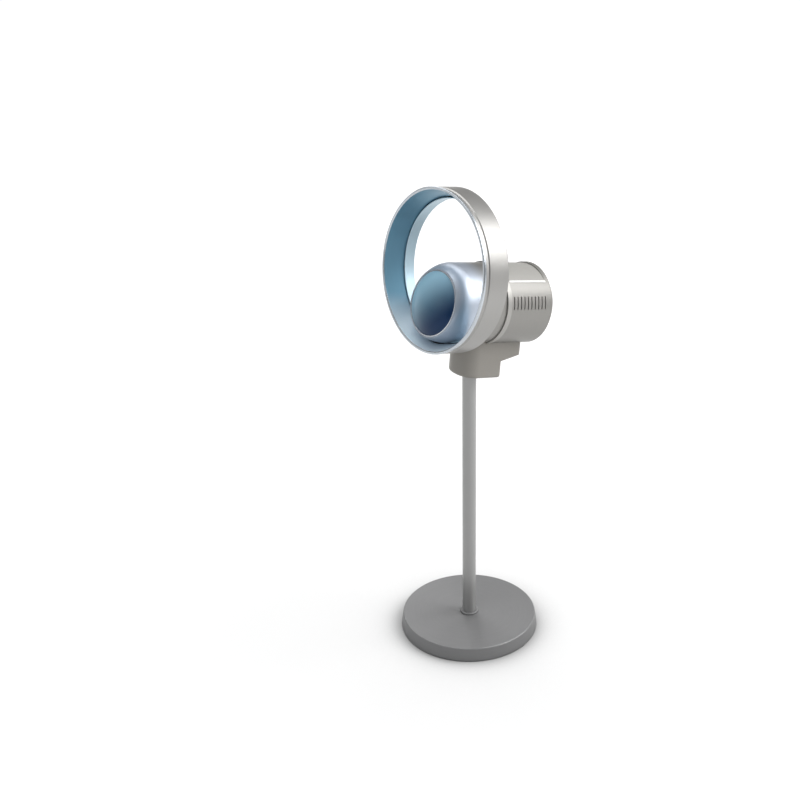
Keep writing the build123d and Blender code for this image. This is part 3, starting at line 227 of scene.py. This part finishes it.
def lathe_metal(name, colour, metallic, roughness, centre, axis, streaks=0.05, wear=0.25,
                edge=0.6 * MM, anisotropic=0.4, drawn=False, cylinder=False,
                far_colour=None, towards=None, between=None):
    """Metal brushed round an axis, or drawn along it, with streaks, smudges and lightened edges.

    With a far colour, the colour shades into it between two distances towards a direction.
    """
    made, tree, shader = blank(name)
    place = object_place(tree)
    station, radius, direction = lathe_place(tree, place, centre, axis)
    if drawn:
        thin, wide = (drawn_lines(tree, station, direction, scale)
                      for scale in (HAIRLINES, STREAKS))
        tangent = vcalc(tree, "NORMALIZE", axis)
    else:
        thin, wide = (turned_lines(tree, station, radius, direction, scale)
                      for scale in (HAIRLINES, STREAKS))
        tangent = vcalc(tree, "CROSS_PRODUCT", axis, direction)
    smudge = noise(tree, place, scale=22.0, detail=4.0)
    soft = soft_normal(tree, edge)
    mask = edge_mask(tree, soft)
    if cylinder:
        mask, soft = turned_normal(tree, direction, mask, soft)
    # Lightened edges: worn edges, and where wear is set high, a painted edge highlight.
    amount = total(tree, swing(tree, wide, 1, streaks), swing(tree, thin, 0, HAIRLINE_TINT),
                   swing(tree, smudge, 0, SMUDGE_TINT), calc(tree, "MULTIPLY", mask, wear))
    if far_colour:
        reach = vcalc(tree, "DOT_PRODUCT", vcalc(tree, "SUBTRACT", place, centre), towards)
        colour = blended(tree, smooth_share(tree, reach, *between), colour, far_colour)
    fill(tree, shader, {
        "Base Color": tinted(tree, colour, amount),
        "Roughness": total(tree, swing(tree, thin, roughness, SHINE_SWING),
                           swing(tree, smudge, 0, SHINE_SWING)),
        "Metallic": metallic,
        "Anisotropic": anisotropic,
        "Tangent": to_world(tree, tangent, "VECTOR"),
    })
    finish_bump(tree, shader, thin, HAIRLINE_DEPTH, soft)
    return made


SMALL_EDGE = 0.4 * MM        # how wide the edges of cast and moulded pieces show
CAST_TINTS = (0.88, 1.08)
CAST_PATCHES = 0.06
CAST_WEAR = 0.3
CAST_SHINE_SWING = 0.08


def cast_metal(name, colour, metallic, roughness, pit, scale):
    """Machined or cast metal with pits of a given depth and scale, and uneven colour."""
    made, tree, shader = blank(name)
    place = object_place(tree)
    grains = noise(tree, place, scale=scale, detail=5.0, roughness=0.6)
    patches = noise(tree, place, scale=18.0, detail=3.0)
    soft = soft_normal(tree, SMALL_EDGE)
    amount = total(tree, spread(tree, grains, *CAST_TINTS), swing(tree, patches, 0, CAST_PATCHES),
                   calc(tree, "MULTIPLY", edge_mask(tree, soft), CAST_WEAR))
    fill(tree, shader, {
        "Base Color": tinted(tree, colour, amount),
        "Roughness": swing(tree, grains, roughness, CAST_SHINE_SWING),
        "Metallic": metallic,
    })
    finish_bump(tree, shader, grains, pit, soft)
    return made


MOULDED_TINT = 0.12
MOULDED_WEAR = 0.5
MOULDED_SHINE_SWING = 0.06


def moulded(name, colour, roughness, grain_size, depth, specular=0.5):
    """Moulded plastic or rubber with a fine spark-eroded grain and paler edges."""
    made, tree, shader = blank(name)
    place = object_place(tree)
    cells = shade(tree, "ShaderNodeTexVoronoi",
                  {"Vector": place, "Scale": 1 / grain_size}).outputs["Distance"]
    cloud = noise(tree, place, scale=30.0, detail=4.0)
    soft = soft_normal(tree, SMALL_EDGE)
    amount = total(tree, swing(tree, cloud, 1, MOULDED_TINT),
                   calc(tree, "MULTIPLY", edge_mask(tree, soft), MOULDED_WEAR))
    fill(tree, shader, {
        "Base Color": tinted(tree, colour, amount),
        "Roughness": swing(tree, cloud, roughness, MOULDED_SHINE_SWING),
        "Specular IOR Level": specular,
    })
    finish_bump(tree, shader, cells, depth, soft)
    return made


# The lens's colour runs from teal grey at its top to navy at its foot: painted shade, darker
# towards its side and foot.
LENS_LIT_TOP = (0.42, 0.72, 0.90)
LENS_SHADED_FOOT = (0.003, 0.040, 0.13)
LENS_SHADE_SPAN = 45 * MM          # the painted shade deepens over this on each side of the pod's axis
LENS_CLOUD = 0.1
LENS_ROUGHNESS = (0.30, 0.40)
LENS_EDGE = 0.5 * MM
WIPE_DEPTH = 0.003 * MM


def smoked_lens():
    """Satin smoked dome with wipe marks and painted shade: teal grey on top, navy at its foot."""
    made, tree, shader = blank("smoked_lens")
    place = object_place(tree)
    wipes = noise(tree, place, scale=60.0, detail=6.0, roughness=0.65)
    cloud = noise(tree, place, scale=14.0, detail=2.0)
    # Painted shade: the colour darkens towards the lens's side and foot.
    level = vcalc(tree, "DOT_PRODUCT", vcalc(tree, "SUBTRACT", place, POD_CENTRE), LENS_PAINTED_SHADE_WAY)
    painted_shade_tint = blended(tree, smooth_share(tree, level, -LENS_SHADE_SPAN, LENS_SHADE_SPAN), LENS_LIT_TOP, LENS_SHADED_FOOT)
    fill(tree, shader, {
        "Base Color": tinted(tree, painted_shade_tint, swing(tree, cloud, 1, LENS_CLOUD)),
        "Roughness": spread(tree, wipes, *LENS_ROUGHNESS),
        "Specular IOR Level": 0.22,
        "Coat Weight": 0.1,
        "Coat Roughness": 0.12,
    })
    finish_bump(tree, shader, wipes, WIPE_DEPTH, soft_normal(tree, LENS_EDGE))
    return made


def pod_metal(name, colour, **finish):
    """Metal turned about the pod's axis."""
    return lathe_metal(name, colour, centre=POD_CENTRE, axis=POD_BACK, **finish)


def ring_metal(name, colour, **finish):
    """Metal turned about the ring's axis."""
    return lathe_metal(name, colour, centre=RING_CENTRE, axis=RING_BACK, **finish)


def stand_metal(name, colour, axis=UP, **finish):
    """Metal turned about the pole's axis, or drawn along an axis."""
    return lathe_metal(name, colour, centre=FLOOR_POINT, axis=axis, **finish)


# ---- materials ----
WARM = (0.315, 0.308, 0.293)
SHELL = pod_metal("shell_warm_grey", WARM, metallic=0.75, roughness=0.44, streaks=0.03)
REAR = pod_metal("rear_warm_grey", WARM, metallic=0.75, roughness=0.44, streaks=0.03,
                 cylinder=True)
NOSE = pod_metal("nose_silver", (0.50, 0.55, 0.63), metallic=0.88, roughness=0.42,
                 streaks=0.015, far_colour=WARM, towards=POD_BACK, between=(60 * MM, 110 * MM))
PANEL = pod_metal("panel_satin", (0.38, 0.372, 0.352), metallic=0.35, roughness=0.55,
                  streaks=0.03)
BEZEL = pod_metal("bezel_silver", (0.66, 0.70, 0.76), metallic=0.80, roughness=0.26,
                  streaks=0.015)
TRIM_POD = pod_metal("polished_trim", (0.80, 0.80, 0.79), metallic=0.6, roughness=0.32,
                     streaks=0.02, anisotropic=0.2)
COLLAR = pod_metal("collar_band", (0.44, 0.43, 0.41), metallic=0.7, roughness=0.44,
                   streaks=0.02)
WINDING = pod_metal("copper_winding", (0.50, 0.20, 0.09), metallic=0.8, roughness=0.35,
                    streaks=0.25)
RING_OUTSIDE = ring_metal("ring_outside", (0.385, 0.379, 0.368), metallic=0.84,
                          roughness=0.39, streaks=0.02)
# The flare's pale far colour towards the ring's foot is a painted highlight: its lower inside is
# made paler, as if catching the light.
FLARE = ring_metal("ring_flare_blue", (0.20, 0.40, 0.53), metallic=0.40, roughness=0.34,
                   streaks=0.02, far_colour=(0.80, 0.92, 1.0), towards=-RING_RISE,
                   between=(75 * MM, 130 * MM))
THROAT = ring_metal("ring_throat_pale", (0.62, 0.80, 0.90), metallic=0.35, roughness=0.32,
                    streaks=0.02)
TRIM_RING = ring_metal("polished_rim", (0.55, 0.59, 0.63), metallic=0.85, roughness=0.24,
                       streaks=0.02, anisotropic=0.2)
BRACKET = stand_metal("bracket_grey", (0.38, 0.36, 0.328), POD_RISE, metallic=0.15,
                      roughness=0.42, streaks=0.03, drawn=True)
# The base's edges are lightened strongly: a painted highlight along its chamfers, as well as worn
# edges.
BASE = stand_metal("base_turned", (0.245, 0.245, 0.248), metallic=0.25, roughness=0.36,
                   wear=1.6, anisotropic=0.6, edge=0.9 * MM)
POLE = stand_metal("pole_drawn", (0.43, 0.43, 0.425), metallic=0.40, roughness=0.30,
                   streaks=0.03, anisotropic=0.3, drawn=True)
STEEL = cast_metal("machined_steel", (0.50, 0.51, 0.52), metallic=0.9, roughness=0.32,
                   pit=0.01 * MM, scale=900.0)
IRON = cast_metal("cast_iron", (0.10, 0.10, 0.10), metallic=0.6, roughness=0.62,
                  pit=0.15 * MM, scale=320.0)
RUBBER = moulded("rubber_black", (0.030, 0.030, 0.032), roughness=0.72,
                 grain_size=1.2 * MM, depth=0.03 * MM, specular=0.3)
BLACK = moulded("plastic_black", (0.035, 0.035, 0.038), roughness=0.50,
                grain_size=0.8 * MM, depth=0.02 * MM)
GREY = moulded("plastic_grey", (0.20, 0.205, 0.21), roughness=0.45,
               grain_size=0.8 * MM, depth=0.02 * MM)
MESH = moulded("screen_mesh", (0.24, 0.235, 0.22), roughness=0.50,
               grain_size=0.9 * MM, depth=0.10 * MM)
BOARD = moulded("board_green", (0.03, 0.12, 0.06), roughness=0.40,
                grain_size=2.5 * MM, depth=0.03 * MM)
LENS = smoked_lens()

FINISH = {
    SHELL: ("rear_cap", "ring_saddle"),
    REAR: ("pod_rear_shell",),
    PANEL: ("top_panel",),
    NOSE: ("pod_front_shell",),
    RING_OUTSIDE: ("ring_outer_shell",),
    FLARE: ("ring_diffuser",),
    THROAT: ("ring_throat",),
    TRIM_RING: ("ring_front_trim",),
    TRIM_POD: ("panel_trims",),
    BEZEL: ("lens_bezel",),
    COLLAR: ("trim_band",),
    BRACKET: ("tilt_bracket",),
    BASE: ("base_cover", "pole_collar"),
    POLE: ("pole",),
    STEEL: ("base_plate", "base_screws", "inlet_pin", "pole_flange", "flange_bolts",
            "swivel_neck", "spigot_clip", "tilt_pin", "bracket_screws", "motor_can",
            "motor_endcap", "motor_bearings", "motor_shaft", "motor_rotor", "impeller_nut"),
    IRON: ("base_weight",),
    RUBBER: ("base_pad", "power_lead", "lead_gland", "vibration_mounts"),
    BLACK: ("power_inlet", "pole_bush", "thrust_washer", "friction_washers",
            "display_carrier", "slot_spacers", "front_bulkhead", "board_posts"),
    GREY: ("fan_housing", "guide_vanes", "impeller"),
    MESH: ("intake_screens",),
    BOARD: ("control_board", "display_board"),
    WINDING: ("motor_stator",),
    LENS: ("display_lens",),
}
for material, names in FINISH.items():
    for name in names:
        if name in cad:
            cad[name].data.materials.clear()
            cad[name].data.materials.append(material)

# ---- floor ----
FLOOR_REACH = 60.0           # half its width, so that its edge stays far off in low views
FLOOR_GREY = (0.42, 0.43)
GLOW = (0.55, 0.84)          # strength near the object and far from it
GLOW_PLACES = (0.3, 2.0)     # and how far out those are
SHADE_REACH = 0.16           # painted contact shadow: the glow fades where something stands this near
SHADE_POWER = 3.0


def make_floor():
    """Wide pale floor that shows white, keeps the object's shadow and adds a painted contact
    shadow.
    """
    made, tree, shader = blank("floor_pale")
    tree.nodes.remove(shader)
    place = object_place(tree)
    cloud = spread(tree, noise(tree, place, scale=6.0), *FLOOR_GREY)
    matt = shade(tree, "ShaderNodeBsdfDiffuse", {"Color": vector_of(tree, cloud, cloud, cloud)})
    path = shade(tree, "ShaderNodeLightPath").outputs
    seen = calc(tree, "MAXIMUM", path["Is Camera Ray"],
                calc(tree, "MAXIMUM", path["Is Glossy Ray"], path["Is Transmission Ray"]))
    away = spread(tree, vcalc(tree, "LENGTH", place), *GLOW, *GLOW_PLACES)
    # Painted contact shadow: ambient occlusion dims the floor's glow near the object.
    clear_of_painted_shadow = shade(tree, "ShaderNodeAmbientOcclusion", {"Distance": SHADE_REACH},
                     samples=12).outputs["AO"]
    strength = calc(tree, "MULTIPLY", away, calc(tree, "POWER", clear_of_painted_shadow, SHADE_POWER))
    glow = shade(tree, "ShaderNodeEmission",
                 {"Color": (*WHITE, 1), "Strength": calc(tree, "MULTIPLY", seen, strength)})
    both = shade(tree, "ShaderNodeAddShader", {0: matt.outputs[0], 1: glow.outputs[0]})
    fill(tree, tree.nodes["Material Output"], {"Surface": both.outputs[0]})
    reach = FLOOR_REACH
    mesh = bpy.data.meshes.new("floor")
    mesh.from_pydata([(-reach, -reach, 0), (reach, -reach, 0),
                      (reach, reach, 0), (-reach, reach, 0)], [], [(0, 1, 2, 3)])
    mesh.materials.append(made)
    floor = bpy.data.objects.new("floor", mesh)
    bpy.context.scene.collection.objects.link(floor)


make_floor()

# ---- camera, worked out from the outlines of the base and the ring ----
CAMERA_TURN = math.radians(52.7587)
CAMERA_DIP = math.radians(27.6794)
camera = bpy.data.objects.new("camera", bpy.data.cameras.new("camera"))
camera.location = (2.17916, -1.65655, 1.90740)
camera.rotation_euler = (math.pi / 2 - CAMERA_DIP, 0, CAMERA_TURN)
camera.data.lens = 72.0
camera.data.sensor_width = 36.0
camera.data.shift_x = -0.0865
camera.data.shift_y = 0.025
bpy.context.scene.collection.objects.link(camera)
bpy.context.scene.camera = camera

# ---- light ----
TARGET = Vector((0, -0.05, 0.6))
VIEW_RIGHT = Vector((math.cos(CAMERA_TURN), math.sin(CAMERA_TURN), 0))
VIEW_BACK = Vector((math.sin(CAMERA_TURN), -math.cos(CAMERA_TURN), 0))   # level, to the camera


def softbox(name, right, back, up, size, power, colour=WHITE):
    """Square lamp placed from the target: to the right, towards the camera and up."""
    lamp = bpy.data.lights.new(name, "AREA")
    lamp.shape = "SQUARE"
    lamp.size = size
    lamp.energy = power
    lamp.color = colour
    holder = bpy.data.objects.new(name, lamp)
    holder.location = TARGET + VIEW_RIGHT * right + VIEW_BACK * back + UP * up
    aim = TARGET - holder.location
    holder.rotation_euler = aim.to_track_quat("-Z", "Y").to_euler()
    bpy.context.scene.collection.objects.link(holder)


softbox("key", right=2.2, back=0.0, up=1.80, size=2.0, power=62.0)
softbox("back", right=-0.9, back=-2.2, up=2.0, size=1.8, power=17.0)
softbox("top", right=-0.1, back=-0.8, up=2.3, size=1.7, power=22.0)
softbox("fill", right=-2.2, back=1.6, up=0.8, size=1.6, power=6.0, colour=(0.88, 0.95, 1.0))

SKY_STRENGTH = (0.04, 0.55)  # below the horizon and overhead
SKY_HEIGHTS = (-0.1, 0.9)    # how high a direction points where those are reached

world = bpy.data.worlds.new("studio")
world.use_nodes = True
bpy.context.scene.world = world
sky = world.node_tree
looking = shade(sky, "ShaderNodeTexCoord").outputs["Generated"]
height = shade(sky, "ShaderNodeSeparateXYZ", {0: looking}).outputs["Z"]
fill(sky, sky.nodes["Background"],
     {"Color": (*WHITE, 1), "Strength": spread(sky, height, *SKY_STRENGTH, *SKY_HEIGHTS)})
bpy.context.scene.view_settings.view_transform = "Standard"
